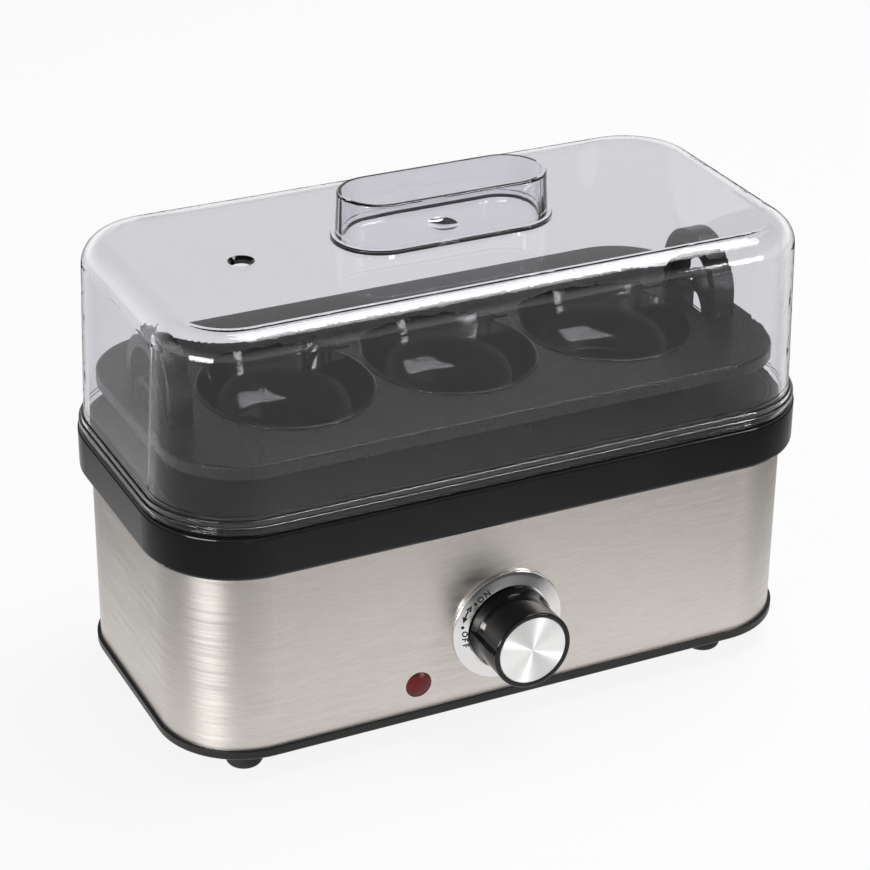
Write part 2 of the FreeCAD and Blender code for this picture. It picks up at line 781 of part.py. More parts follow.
def cup_places():
    return [cup_centre_x + column * cup_pitch for column in (-1, 0, 1)]


def stretched(shape):
    """A round shape about the origin, made oval along Y as the cups are."""
    matrix = FreeCAD.Matrix()
    matrix.scale(FreeCAD.Vector(1, cup_half_width / cup_half_length, 1))
    return shape.transformGeometry(matrix)


def bowl(top_radius, floor_radius, z_low, z_high, fillet):
    body = Part.makeCone(floor_radius, top_radius, z_high - z_low, FreeCAD.Vector(0, 0, z_low))
    return body.makeFillet(fillet, horizontal_edges(body, z_low))


def make_tray_cup(x):
    """Oval poaching cup, open at the top, with a small bead round its rim."""
    z_low = tray_top_z - cup_depth
    outer = bowl(cup_half_length, cup_half_length - cup_floor_shrink, z_low, tray_top_z,
                 cup_floor_fillet + cup_wall)
    bead = round_z(cup_half_length, tray_top_z, tray_top_z + cup_bead_height)
    bead = bead.makeFillet(cup_bead_height * 0.8, horizontal_edges(bead, tray_top_z + cup_bead_height))
    mouth = cup_half_length - cup_wall
    inner = bowl(mouth, mouth - cup_floor_shrink, z_low + cup_floor_thickness, tray_top_z, cup_floor_fillet)
    inner = inner.fuse(round_z(mouth, tray_top_z, tray_top_z + cup_bead_height))
    cup = stretched(outer.fuse(bead).cut(inner))
    cup.translate(FreeCAD.Vector(x, cup_centre_y, 0))
    return cup


def arch_slot(side, z_low, z_high):
    """Opening in the tray that the rack's arch stands in."""
    reach = rack_arch_radius + arch_slot_clearance
    wide = arch_strap / 2 + arch_slot_clearance
    return block(side * arch_x - wide, side * arch_x + wide, -reach, reach, z_low, z_high)


def make_tray():
    """Moulded plate with a turned-down rim, holes for the cups and two arch handles."""
    size = (tray_length, tray_width, tray_corner)
    low = tray_top_z - tray_rim_depth
    under = tray_top_z - tray_thickness
    plate = rounded_slab(*size, low, tray_top_z)
    plate = plate.makeFillet(tray_edge_radius, horizontal_edges(plate, tray_top_z))
    tray = plate.cut(rounded_slab(*inset(size, tray_rim_wall), low, under))
    hole = stretched(round_z(cup_half_length + fit_gap, low, tray_top_z))
    for x in cup_places():
        place = hole.copy()
        place.translate(FreeCAD.Vector(x, cup_centre_y, 0))
        tray = tray.cut(place)
    for side in (-1, 1):
        tray = tray.fuse(arch(side * arch_x, tray_arch_radius, tray_arch_thickness,
                              tray_top_z + tray_arch_rise, under))
        tray = tray.cut(arch_slot(side, low, tray_top_z))
    return tray.removeSplitter()


# ---------------------------------------------------------------- lid
def lid_shell(amount, z_low, z_high):
    """Closed form of the lid, amount inside its outer face."""
    low = inset((lid_length, lid_width, lid_corner), amount)
    high = inset((lid_top_length, lid_top_width, lid_top_corner), amount)
    body = tapered_slab(low, high, z_low, z_high)
    return body.makeFillet(lid_edge_radius - amount, horizontal_edges(body, z_high))


def ring_size(amount):
    return (ring_length - 2 * amount, ring_width - 2 * amount, ring_width / 2 - amount - 0.01)


def make_lid():
    """Clear moulded cover: stepped rim, steam hole and a stadium ring as its handle."""
    lid = lid_shell(0.0, lid_low_z, lid_top_z)
    step_low = lid_low_z
    for height, overhang in zip(lid_rim_heights, lid_rim_overhangs):
        size = inset((lid_length, lid_width, lid_corner), -overhang)
        step = rounded_slab(*size, step_low, step_low + height)
        step = step.makeFillet(min(0.5, overhang * 0.6), horizontal_edges(step, step_low + height))
        lid = lid.fuse(step)
        step_low += height
    step_size = ring_size(-ring_draft - ring_step_overhang)
    step = rounded_slab(*step_size, lid_top_z - lid_wall / 2, lid_top_z + ring_step_height)
    step = step.makeFillet(0.5, horizontal_edges(step, lid_top_z + ring_step_height))
    ring = tapered_slab(ring_size(-ring_draft), ring_size(0.0), lid_top_z - lid_wall / 2,
                        lid_top_z + ring_height)
    ring = ring.makeFillet(ring_edge_radius, horizontal_edges(ring, lid_top_z + ring_height))
    well = tapered_slab(ring_size(ring_wall - ring_draft / 2), ring_size(ring_wall - ring_draft),
                        lid_top_z, lid_top_z + ring_height)
    lid = lid.fuse(step).fuse(ring).cut(well)
    lid = lid.cut(lid_shell(lid_wall, lid_low_z, lid_top_z - lid_wall))
    lid = lid.cut(round_z(vent_radius, lid_top_z - lid_wall, lid_top_z, vent_x))
    sink = Part.makeCone(vent_radius, vent_sink_radius, vent_sink_depth,
                         FreeCAD.Vector(vent_x, 0, lid_top_z - vent_sink_depth))
    lid = lid.cut(sink)
    dimple_radius = (gate_radius ** 2 + gate_depth ** 2) / (2 * gate_depth)
    lid = lid.cut(Part.makeSphere(dimple_radius, FreeCAD.Vector(0, 0, lid_top_z - gate_depth + dimple_radius)))
    return lid.removeSplitter()


# ---------------------------------------------------------------- dial, knob and switch
def make_dial_ring():
    """Plated ring round the knob: a sloped outer face for the print and a thin floor."""
    back = front_y
    rim = back - dial_rim_thickness
    floor = back - dial_floor_thickness
    hole = bush_radius + fit_gap
    profile = [(hole, back), (dial_radius, back), (dial_radius, rim)]
    profile += [(dial_inner_radius, back - dial_thickness), (dial_inner_radius, floor), (hole, floor)]
    ring = turned_y(profile, knob_x, knob_z)
    return ring.makeFillet(dial_edge_radius, edges_at_y(ring, rim))


def knob_back_y():
    return front_y - dial_floor_thickness - seat_gap


def make_knob_body():
    """Hollow moulded knob: flared skirt, waisted side, pointer ridge, hub with a D bore."""
    back = knob_back_y()
    front = knob_front_y
    skirt = back - knob_skirt_length
    waist = skirt - knob_skirt_blend
    profile = [(0, back), (knob_skirt_radius, back), (knob_skirt_radius, skirt)]
    flare = knob_skirt_radius - knob_radius
    for step in range(1, 5):
        share = step / 5
        profile.append((knob_radius + flare * (1 - share) ** 2, skirt + (waist - skirt) * share))
    profile += [(knob_radius, waist), (knob_radius, front), (0, front)]
    knob = turned_y(profile, knob_x, knob_z)
    knob = knob.makeFillet(knob_edge_radius, edges_at_y(knob, front))
    knob = knob.fuse(pointer_ridge(back, front))
    recess = cap_thickness + cap_recess
    knob = knob.cut(round_y(cap_radius + fit_gap, front, front + recess, knob_x, knob_z))
    cavity = round_y(knob_cavity_radius, back - knob_cavity_depth, back, knob_x, knob_z)
    knob = knob.cut(cavity)
    core = round_y(knob_radius - 1.8, front + recess + 1.6, back - knob_cavity_depth, knob_x, knob_z)
    core = core.cut(round_y(knob_hub_radius, front + recess + 1.6, back - knob_cavity_depth, knob_x, knob_z))
    knob = knob.cut(core)
    return knob.cut(shaft_form(fit_gap, shaft_end_y() - fit_gap, back)).removeSplitter()


def pointer_ridge(back, front):
    """Wedge along the knob's side that points at the dial's marks."""
    outer = knob_radius + knob_pointer_height
    inner = knob_radius - 1.0
    half = knob_pointer_width / 2
    points = []
    for radial, across in ((inner, -half), (outer, 0.0), (inner, half), (inner, -half)):
        points.append(FreeCAD.Vector(radial, back, across))
    ridge = Part.Face(Part.makePolygon(points)).extrude(FreeCAD.Vector(0, front - back + 1.2, 0))
    ridge.rotate(FreeCAD.Vector(0, 0, 0), FreeCAD.Vector(0, 1, 0), -knob_pointer_angle)
    ridge.translate(FreeCAD.Vector(knob_x, 0, knob_z))
    return ridge.common(round_y(dial_inner_radius - seat_gap, front, back, knob_x, knob_z))


def make_knob_cap():
    """Spun aluminium disc let into the knob's front."""
    outer = knob_front_y + cap_recess
    disc = round_y(cap_radius, outer, outer + cap_thickness, knob_x, knob_z)
    return disc.makeChamfer(0.3, edges_at_y(disc, outer))


def shaft_end_y():
    return knob_back_y() - shaft_in_knob


def shaft_form(grow, y_low, y_high):
    """Round shaft with one flat, grown by a clearance where it is used as a cutter."""
    radius = shaft_radius + grow
    rod = round_y(radius, y_low, y_high, knob_x, knob_z)
    flat_z = knob_z + radius - shaft_flat
    return rod.cut(block(knob_x - radius, knob_x + radius, y_low, y_high, flat_z, knob_z + radius + 1.0))


def switch_front_y():
    return front_y + sleeve_wall


def make_switch_shaft():
    inner_end = switch_front_y() + shaft_in_switch
    flat = shaft_form(0.0, shaft_end_y(), knob_back_y())
    return flat.fuse(round_y(shaft_radius, knob_back_y(), inner_end, knob_x, knob_z)).removeSplitter()


def make_knob_clip():
    """Split spring band on the knob's hub that grips the shaft's flat."""
    low = knob_back_y() - knob_cavity_depth
    band = round_y(knob_hub_radius + fit_gap + clip_thickness, low - 4.0, low - 1.0, knob_x, knob_z)
    band = band.cut(round_y(knob_hub_radius + fit_gap, low - 4.0, low - 1.0, knob_x, knob_z))
    gap = block(knob_x - 1.0, knob_x + 1.0, low - 4.0, low - 1.0, knob_z - knob_radius, knob_z)
    return band.cut(gap)


def make_switch():
    """Rotary switch behind the steel face, its bush through the sleeve and dial."""
    front = switch_front_y()
    half = switch_size / 2
    body = block(knob_x - half, knob_x + half, front, front + switch_depth, knob_z - half, knob_z + half)
    body = body.makeFillet(2.0, [edge for edge in body.Edges if edge.BoundBox.YLength > switch_depth / 2])
    bush_end = front_y - dial_floor_thickness - washer_thickness - bush_nut_height
    body = body.fuse(round_y(bush_radius, bush_end, front, knob_x, knob_z))
    body = body.cut(round_y(shaft_radius + fit_gap, bush_end, front + shaft_in_switch + seat_gap,
                            knob_x, knob_z))
    for x, z in switch_blade_places():
        body = body.fuse(block(x - blade_thickness / 2, x + blade_thickness / 2, front + switch_depth,
                               front + switch_depth + switch_blade_length,
                               z - blade_width / 2, z + blade_width / 2))
    return body.removeSplitter()


def switch_blade_places():
    return [(knob_x - 6.0, knob_z), (knob_x + 6.0, knob_z)]


def make_switch_washer():
    face = front_y - dial_floor_thickness
    washer = round_y(washer_radius, face - washer_thickness, face, knob_x, knob_z)
    return washer.cut(round_y(bush_radius + fit_gap, face - washer_thickness, face, knob_x, knob_z))


def make_switch_nut():
    face = front_y - dial_floor_thickness - washer_thickness
    nut = hexagon_prism(bush_nut_across, bush_nut_height,
                        FreeCAD.Vector(knob_x, face - bush_nut_height, knob_z), FreeCAD.Vector(0, 1, 0))
    return nut.cut(round_y(bush_radius + fit_gap, face - bush_nut_height, face, knob_x, knob_z))


# ---------------------------------------------------------------- pilot lamp
def make_lamp_lens():
    """Domed red lens with a stem through the steel face."""
    sphere_radius = (lamp_radius ** 2 + lamp_dome ** 2) / (2 * lamp_dome)
    dome = Part.makeSphere(sphere_radius, FreeCAD.Vector(lamp_x, front_y - lamp_dome + sphere_radius, lamp_z))
    dome = dome.common(round_y(lamp_radius, front_y - lamp_dome, front_y, lamp_x, lamp_z))
    stem = round_y(lamp_stem_radius, front_y, front_y + lamp_stem_length, lamp_x, lamp_z)
    return dome.fuse(stem).removeSplitter()


def make_lamp_holder():
    start = front_y + sleeve_wall + lamp_clip_thickness
    holder = round_y(lamp_holder_radius, start, start + lamp_holder_length, lamp_x, lamp_z)
    stem_end = front_y + lamp_stem_length + fit_gap
    return holder.cut(round_y(lamp_stem_radius + fit_gap, start, stem_end, lamp_x, lamp_z))


def make_lamp_clip():
    """Spring washer that holds the lamp against the back of the steel face."""
    start = front_y + sleeve_wall
    clip = round_y(lamp_clip_radius, start, start + lamp_clip_thickness, lamp_x, lamp_z)
    above_base = block(lamp_x - 10, lamp_x + 10, start, start + lamp_clip_thickness,
                       floor_z + base_upstand_height + panel_gap, lamp_z + 10)
    clip = clip.common(above_base)
    return clip.cut(round_y(lamp_stem_radius + fit_gap, start, start + lamp_clip_thickness, lamp_x, lamp_z))


# ---------------------------------------------------------------- inlet, block and wires
def make_gland():
    """Rubber bush in the rear wall that a power cord would come through."""
    outer_y = rear_y + gland_flange_thickness
    gland = round_y(gland_flange_radius, rear_y, outer_y, gland_x, gland_z)
    gland = gland.makeFillet(1.0, edges_at_y(gland, outer_y))
    inner_face = rear_y - sleeve_wall
    gland = gland.fuse(round_y(gland_neck_radius, inner_face, rear_y, gland_x, gland_z))
    gland = gland.fuse(round_y(gland_flange_radius - 0.8, inner_face - gland_inner_length, inner_face,
                               gland_x, gland_z))
    return gland.cut(round_y(gland_bore_radius, inner_face - gland_inner_length, outer_y, gland_x, gland_z))


def block_way_places():
    pitch = block_length / block_ways
    return [block_x + (way - (block_ways - 1) / 2) * pitch for way in range(block_ways)]


def make_terminal_block():
    body = block(block_x - block_length / 2, block_x + block_length / 2, block_y - block_width / 2,
                 block_y + block_width / 2, floor_z, floor_z + block_height)
    body = body.makeFillet(block_edge_radius, horizontal_edges(body, floor_z + block_height))
    for x in block_way_places():
        top = floor_z + block_height
        screw_low = top - block_screw_sink - block_screw_length
        body = body.cut(round_z(block_screw_radius + fit_gap, screw_low, top, x, block_y))
        for entry_z in block_entry_levels():
            body = body.cut(round_y(wire_radius + fit_gap, block_y - block_width / 2,
                                    block_y - block_width / 2 + block_entry_depth, x, entry_z))
    return body


def block_entry_levels():
    middle = floor_z + block_height * 0.46
    return (middle - block_entry_spacing / 2, middle + block_entry_spacing / 2)


def make_block_screws():
    top = floor_z + block_height
    screws = []
    for x in block_way_places():
        head = top - block_screw_sink
        screw = round_z(block_screw_radius, head - block_screw_length, head, x, block_y)
        slot = block(x - block_screw_radius, x + block_screw_radius, block_y - 0.3, block_y + 0.3,
                     head - block_screw_length * 0.15, head)
        screws.append(screw.cut(slot))
    return Part.makeCompound(screws)


def block_entry(way, level=0):
    """Inner end of a lead pushed into one way of the terminal block."""
    x = block_way_places()[way]
    y = block_y - block_width / 2 + block_entry_depth - fit_gap
    return FreeCAD.Vector(x, y, block_entry_levels()[level])


def blade_tip():
    return front_y + sleeve_wall + switch_depth + switch_blade_length + fit_gap


def make_wire(points):
    return tube_along([FreeCAD.Vector(*point) for point in points], wire_bend, wire_radius)


def make_wire_live():
    start = block_entry(0)
    blade_x, blade_z = switch_blade_places()[1]
    turn_y = blade_tip() + lead_turn * 1.6
    return make_wire([start, (start.x, turn_y, start.z), (blade_x, turn_y, blade_z),
                      (blade_x, blade_tip(), blade_z)])


def make_wire_switched():
    """From the switch up to the thermostat."""
    blade_x, blade_z = switch_blade_places()[0]
    x, y = lead_places()["thermostat_front"]
    level = tag_top_z - level_switched
    turn_y = blade_tip() + lead_turn * 2
    end_z = strip_top_z + thermostat_blade_rise
    return make_wire([(blade_x, blade_tip(), blade_z), (blade_x, turn_y, blade_z), (blade_x, turn_y, level),
                      (x, y, level), (x, y, end_z)])


def make_wire_thermostat():
    """From the thermostat to the thermal fuse."""
    x, y = lead_places()["thermostat_rear"]
    fuse_x, fuse_y = lead_places()["fuse_right"]
    level = tag_top_z - level_element
    end_z = strip_top_z + thermostat_blade_rise
    lead_end = thermal_fuse_x + thermal_fuse_length / 2 + thermal_fuse_lead + fit_gap
    return make_wire([(x, y, end_z), (x, y, level), (fuse_x, fuse_y, level),
                      (fuse_x, fuse_y, thermal_fuse_z()), (fuse_x, 0, thermal_fuse_z()),
                      (lead_end, 0, thermal_fuse_z())])


def make_wire_element():
    """From the thermal fuse to the heating element."""
    fuse_x, fuse_y = lead_places()["fuse_left"]
    x, y = lead_places()["pin_left"]
    level = tag_top_z - level_element
    lead_end = thermal_fuse_x - thermal_fuse_length / 2 - thermal_fuse_lead - fit_gap
    pin_under = element_z - element_pin_radius - fit_gap
    return make_wire([(lead_end, 0, thermal_fuse_z()), (fuse_x, 0, thermal_fuse_z()),
                      (fuse_x, fuse_y, thermal_fuse_z()), (fuse_x, fuse_y, level), (x, y, level),
                      (x, y, pin_under)])


def make_wire_neutral():
    start = block_entry(1)
    x, y = lead_places()["pin_right"]
    level = tag_top_z - level_neutral
    turn_y = start.y - block_entry_depth - lead_turn
    pin_under = element_z - element_pin_radius - fit_gap
    aside_x = start.x + 2 * wire_bend + 0.4
    return make_wire([start, (start.x, turn_y, start.z), (aside_x, turn_y, start.z),
                      (aside_x, turn_y, level), (x, y, level), (x, y, pin_under)])


def make_wire_earth():
    start = block_entry(2)
    x = -earth_tag_length + blade_width / 2
    level = tag_top_z - level_earth
    turn_y = start.y - block_entry_depth - lead_turn * 2
    return make_wire([start, (start.x, turn_y, start.z), (start.x, turn_y, level), (x, 0, level),
                      (x, 0, stud_nut_top_z - fit_gap)])


def make_lamp_leads():
    """Two leads from the lamp: one to the switch's blade, one to the neutral way."""
    lamp_back = front_y + sleeve_wall + lamp_clip_thickness + lamp_holder_length + fit_gap
    blade_x, blade_z = switch_blade_places()[0]
    neutral = block_entry(1, 1)
    blade_y = blade_tip() - switch_blade_length / 2
    upper_z = lamp_z + 1.5 * wire_radius
    upper = make_wire([(lamp_x, lamp_back, upper_z), (lamp_x, blade_y, upper_z), (lamp_x, blade_y, blade_z),
                       (blade_x - blade_thickness / 2 - fit_gap, blade_y, blade_z)])
    lower_z = neutral.z
    turn_y = neutral.y - block_entry_depth - lead_turn * 2.8
    lower = make_wire([(lamp_x, lamp_back, lower_z), (lamp_x, turn_y, lower_z),
                       (neutral.x, turn_y, lower_z), neutral])
    return Part.makeCompound([upper, lower])


# ---------------------------------------------------------------- write every node
def build():
    save("base_pan", make_base_pan())
    save("foot_front_left", make_foot(foot_centre_x - foot_x, -foot_y))
    save("foot_rear_left", make_foot(foot_centre_x - foot_x, foot_y))
    save("foot_front_right", make_foot(foot_centre_x + foot_x, -foot_y))
    save("foot_rear_right", make_foot(foot_centre_x + foot_x, foot_y))
    save("body_screws", make_body_screws())
    save("housing_sleeve", make_sleeve())
    save("collar", make_collar())
    save("water_dish", make_dish())
    save("dish_seal", make_dish_seal())
    save("dish_screws", make_dish_screws())
    save("heating_element", make_element())
    save("element_pins", make_element_pins())
    save("dish_stud", make_stud())
    save("clamp_bar", make_clamp_bar())
    save("clamp_strip", make_clamp_strip())
    save("heat_shield", make_heat_shield())
    save("earth_tag", make_earth_tag())
    save("stud_nut", make_stud_nut())
    save("thermostat", make_thermostat())
    save("thermal_fuse", make_thermal_fuse())
    save("egg_rack", make_egg_rack())
    save("poaching_tray", make_tray())
    for name, x in zip(("poaching_cup_left", "poaching_cup_middle", "poaching_cup_right"), cup_places()):
        save(name, make_tray_cup(x))
    save("lid", make_lid())
    save("dial_ring", make_dial_ring())
    save("knob_body", make_knob_body())
    save("knob_cap", make_knob_cap())
    save("knob_clip", make_knob_clip())
    save("switch_shaft", make_switch_shaft())
    save("rotary_switch", make_switch())
    save("switch_washer", make_switch_washer())
    save("switch_nut", make_switch_nut())
    save("lamp_lens", make_lamp_lens())
    save("lamp_holder", make_lamp_holder())
    save("lamp_clip", make_lamp_clip())
    save("cord_gland", make_gland())
    save("terminal_block", make_terminal_block())
    save("terminal_screws", make_block_screws())
    save("wire_live", make_wire_live())
    save("wire_switched", make_wire_switched())
    save("wire_thermostat", make_wire_thermostat())
    save("wire_element", make_wire_element())
    save("wire_neutral", make_wire_neutral())
    save("wire_earth", make_wire_earth())
    save("lamp_leads", make_lamp_leads())


build()
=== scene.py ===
import bmesh
import bpy
import math
from mathutils import Matrix, Vector


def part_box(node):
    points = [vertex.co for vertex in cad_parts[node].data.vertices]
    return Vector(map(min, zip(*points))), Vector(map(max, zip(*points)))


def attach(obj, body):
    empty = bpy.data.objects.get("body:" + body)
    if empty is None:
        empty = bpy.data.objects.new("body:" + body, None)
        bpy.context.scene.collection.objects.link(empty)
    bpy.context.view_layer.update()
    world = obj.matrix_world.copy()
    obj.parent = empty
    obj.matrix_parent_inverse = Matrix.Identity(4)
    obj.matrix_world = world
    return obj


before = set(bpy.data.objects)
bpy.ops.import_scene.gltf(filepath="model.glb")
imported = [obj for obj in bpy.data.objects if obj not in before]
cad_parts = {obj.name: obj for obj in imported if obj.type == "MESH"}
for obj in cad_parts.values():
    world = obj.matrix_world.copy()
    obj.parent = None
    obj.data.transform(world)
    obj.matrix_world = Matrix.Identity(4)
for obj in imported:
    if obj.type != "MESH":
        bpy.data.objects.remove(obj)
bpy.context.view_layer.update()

# ---------------------------------------------------------------- the stage
# A wide white table under a sky that is white round the horizon and dim overhead, as in a
# studio. The table takes a soft shadow and shows white through the lid; in the steel and other reflections
# it shows a painted pool of light, white round the boiler and fading to grey further out.
TABLE_SIZE = 12.0
TABLE_DROP = 0.0002         # just under the feet
TABLE_WHITE = 0.80
SKY_LIGHT = 0.42
CEILING_GREY = 0.10
TABLE_GLOW = 0.88           # the share of plain white in what the camera sees of the table
# Painted pool of light: in reflections the table glows white out to the first radius and fades to grey by
# the second.
PAINTED_POOL_RADII = (0.12, 0.31)   # where the light on the table starts and ends to fall off, in metres
SKY_FADE = (0.12, 0.55)     # the heights between which the sky turns dim, as the sine of the angle
BOILER_MIDDLE = Vector((0, 0, 0.09))


def rays(nodes, links, *kinds):
    """1 for any of these kinds of ray, 0 for the rest."""
    path = nodes.new("ShaderNodeLightPath")
    total = path.outputs[kinds[0]]
    for kind in kinds[1:]:
        either = nodes.new("ShaderNodeMath")
        either.operation = "MAXIMUM"
        links.new(total, either.inputs[0])
        links.new(path.outputs[kind], either.inputs[1])
        total = either.outputs[0]
    return total


def white_table():
    mesh = bpy.data.meshes.new("table")
    half = TABLE_SIZE / 2
    corners = [(-half, -half), (half, -half), (half, half), (-half, half)]
    mesh.from_pydata([(x, y, -TABLE_DROP) for x, y in corners], [], [(0, 1, 2, 3)])
    table = bpy.data.objects.new("table", mesh)
    bpy.context.collection.objects.link(table)
    material = bpy.data.materials.new("table_white")
    material.use_nodes = True
    nodes, links = material.node_tree.nodes, material.node_tree.links
    nodes.clear()
    output = nodes.new("ShaderNodeOutputMaterial")
    paint = nodes.new("ShaderNodeBsdfDiffuse")
    paint.inputs["Color"].default_value = (TABLE_WHITE, TABLE_WHITE, TABLE_WHITE, 1)
    place = nodes.new("ShaderNodeTexCoord")
    distance = nodes.new("ShaderNodeVectorMath")
    distance.operation = "LENGTH"
    # A painted pool of light, seen only by glossy rays: the table glows white near the boiler and grey
    # further out.
    painted_pool = nodes.new("ShaderNodeValToRGB")
    for element, radius, level in zip(painted_pool.color_ramp.elements, PAINTED_POOL_RADII, (1, CEILING_GREY)):
        element.position = radius
        element.color = (level, level, level, 1)
    painted_pool_glow = nodes.new("ShaderNodeEmission")
    with_painted_pool = nodes.new("ShaderNodeMixShader")
    glow = nodes.new("ShaderNodeEmission")
    share = nodes.new("ShaderNodeMath")
    share.operation = "MULTIPLY"
    share.inputs[1].default_value = TABLE_GLOW
    with_glow = nodes.new("ShaderNodeMixShader")
    links.new(place.outputs["Object"], distance.inputs[0])
    links.new(distance.outputs["Value"], painted_pool.inputs["Fac"])
    links.new(painted_pool.outputs["Color"], painted_pool_glow.inputs["Color"])
    links.new(rays(nodes, links, "Is Glossy Ray"), with_painted_pool.inputs[0])
    links.new(paint.outputs[0], with_painted_pool.inputs[1])
    links.new(painted_pool_glow.outputs[0], with_painted_pool.inputs[2])
    links.new(rays(nodes, links, "Is Camera Ray", "Is Transmission Ray"), share.inputs[0])
    links.new(share.outputs[0], with_glow.inputs[0])
    links.new(with_painted_pool.outputs[0], with_glow.inputs[1])
    links.new(glow.outputs[0], with_glow.inputs[2])
    links.new(with_glow.outputs[0], output.inputs["Surface"])
    mesh.materials.append(material)


def white_sky():
    world = bpy.data.worlds.new("sky")
    bpy.context.scene.world = world
    world.use_nodes = True
    nodes, links = world.node_tree.nodes, world.node_tree.links
    nodes.clear()
    output = nodes.new("ShaderNodeOutputWorld")
    light = nodes.new("ShaderNodeBackground")
    light.inputs["Strength"].default_value = SKY_LIGHT
    seen = nodes.new("ShaderNodeBackground")
    direction = nodes.new("ShaderNodeTexCoord")
    height = nodes.new("ShaderNodeSeparateXYZ")
    fade = nodes.new("ShaderNodeValToRGB")
    for element, level_height, level in zip(fade.color_ramp.elements, SKY_FADE, (1, CEILING_GREY)):
        element.position = level_height
        element.color = (level, level, level, 1)
    links.new(direction.outputs["Generated"], height.inputs[0])
    links.new(height.outputs["Z"], fade.inputs["Fac"])
    links.new(fade.outputs["Color"], seen.inputs["Color"])
    mix = nodes.new("ShaderNodeMixShader")
    links.new(rays(nodes, links, "Is Camera Ray", "Is Glossy Ray", "Is Transmission Ray"), mix.inputs[0])
    links.new(light.outputs[0], mix.inputs[1])
    links.new(seen.outputs[0], mix.inputs[2])
    links.new(mix.outputs[0], output.inputs["Surface"])


def softbox(name, place, width, height, power):
    """A white cloth light box that faces the boiler."""
    data = bpy.data.lights.new(name, "AREA")
    data.shape = "RECTANGLE"
    data.size, data.size_y, data.energy = width, height, power
    lamp = bpy.data.objects.new(name, data)
    bpy.context.collection.objects.link(lamp)
    lamp.location = place
    aim = BOILER_MIDDLE - Vector(place)
    lamp.rotation_euler = aim.to_track_quat("-Z", "Y").to_euler()


white_table()
white_sky()
softbox("overhead_light", (0.42, 0.10, 1.2), width=0.80, height=0.70, power=11)
softbox("left_light", (-1.22, -0.67, 0.17), width=0.75, height=0.34, power=15)
softbox("right_light", (0.95, -1.25, 0.42), width=0.32, height=0.34, power=4.5)

# ---------------------------------------------------------------- the camera
# It stands a little under a metre off, left of the knob and above the lid, with a long lens. The
# small roll is that of a hand-levelled tripod head.
CAMERA_TARGET = Vector((-0.00177, 0.0074, 0.077975))
CAMERA_AZIMUTH = math.radians(-25.982)
CAMERA_ELEVATION = math.radians(27.193)
CAMERA_ROLL = math.radians(0.558)
CAMERA_DISTANCE = 0.88746
CAMERA_LENS = 111.5         # in millimetres, as the sensor's width is
CAMERA_SENSOR = 36
CAMERA_NEAR = 0.01          # in metres


def stand_camera():
    data = bpy.data.cameras.new("camera")
    data.sensor_width = CAMERA_SENSOR
    data.lens = CAMERA_LENS
    data.clip_start = CAMERA_NEAR
    camera = bpy.data.objects.new("camera", data)
    bpy.context.collection.objects.link(camera)
    level = math.cos(CAMERA_ELEVATION)
    back = Vector((math.sin(CAMERA_AZIMUTH) * level, -math.cos(CAMERA_AZIMUTH) * level,
                   math.sin(CAMERA_ELEVATION)))
    right = Vector((math.cos(CAMERA_AZIMUTH), math.sin(CAMERA_AZIMUTH), 0))
    up = back.cross(right)
    rolled_right = right * math.cos(CAMERA_ROLL) + up * math.sin(CAMERA_ROLL)
    rolled_up = back.cross(rolled_right)
    turn = Matrix((rolled_right, rolled_up, back)).transposed()
    camera.matrix_world = Matrix.Translation(CAMERA_TARGET + back * CAMERA_DISTANCE) @ turn.to_4x4()
    bpy.context.scene.camera = camera


stand_camera()
bpy.context.scene.view_settings.view_transform = "Standard"

# ---------------------------------------------------------------- base pan and rear gland
# The pan is moulded in black polypropylene with a fine spark grain, and its lip shows below
# the steel. The rear gland is soft PVC, pushed through the sleeve's hole.
PAN_BLACK = (0.010, 0.0095, 0.009)
GLAND_BLACK = (0.024, 0.024, 0.025)
FACTOR_SPAN = (0.3, 0.7)    # nearly all of a noise's values lie between these
MOULDING_CLOUD = 0.03       # size of the slow change of tone in a moulding, in metres
PLASTIC_SHINE = 0.3         # specular level


def new_finish(name, colour, roughness, metallic=0.0):
    material = bpy.data.materials.new(name)
    material.use_nodes = True
    shader = material.node_tree.nodes["Principled BSDF"]
    shader.inputs["Base Color"].default_value = (*colour, 1)
    shader.inputs["Roughness"].default_value = roughness
    shader.inputs["Metallic"].default_value = metallic
    return material, shader


def grain(material, size, stretch=(1, 1, 1), detail=2.0):
    """Uneven spots of about this size in metres, drawn out along the axes by stretch."""
    nodes, links = material.node_tree.nodes, material.node_tree.links
    place = nodes.new("ShaderNodeTexCoord")
    draw_out = nodes.new("ShaderNodeMapping")
    draw_out.inputs["Scale"].default_value = [1 / factor for factor in stretch]
    noise = nodes.new("ShaderNodeTexNoise")
    noise.inputs["Scale"].default_value = 1 / size
    noise.inputs["Detail"].default_value = detail
    links.new(place.outputs["Object"], draw_out.inputs["Vector"])
    links.new(draw_out.outputs["Vector"], noise.inputs["Vector"])
    return noise.outputs["Fac"]


def vary(material, factor, low, high, socket):
    """The socket's number follows the factor from low to high."""
    nodes, links = material.node_tree.nodes, material.node_tree.links
    span = nodes.new("ShaderNodeMapRange")
    span.inputs["From Min"].default_value, span.inputs["From Max"].default_value = FACTOR_SPAN
    span.inputs["To Min"].default_value = low
    span.inputs["To Max"].default_value = high
    links.new(factor, span.inputs["Value"])
    links.new(span.outputs["Result"], socket)


def tint(material, factor, dark, light, socket):
    """The socket's colour follows the factor from dark to light."""
    nodes, links = material.node_tree.nodes, material.node_tree.links
    ramp = nodes.new("ShaderNodeValToRGB")
    for element, position, colour in zip(ramp.color_ramp.elements, FACTOR_SPAN, (dark, light)):
        element.position = position
        element.color = (*colour, 1)
    links.new(factor, ramp.inputs["Fac"])
    links.new(ramp.outputs["Color"], socket)


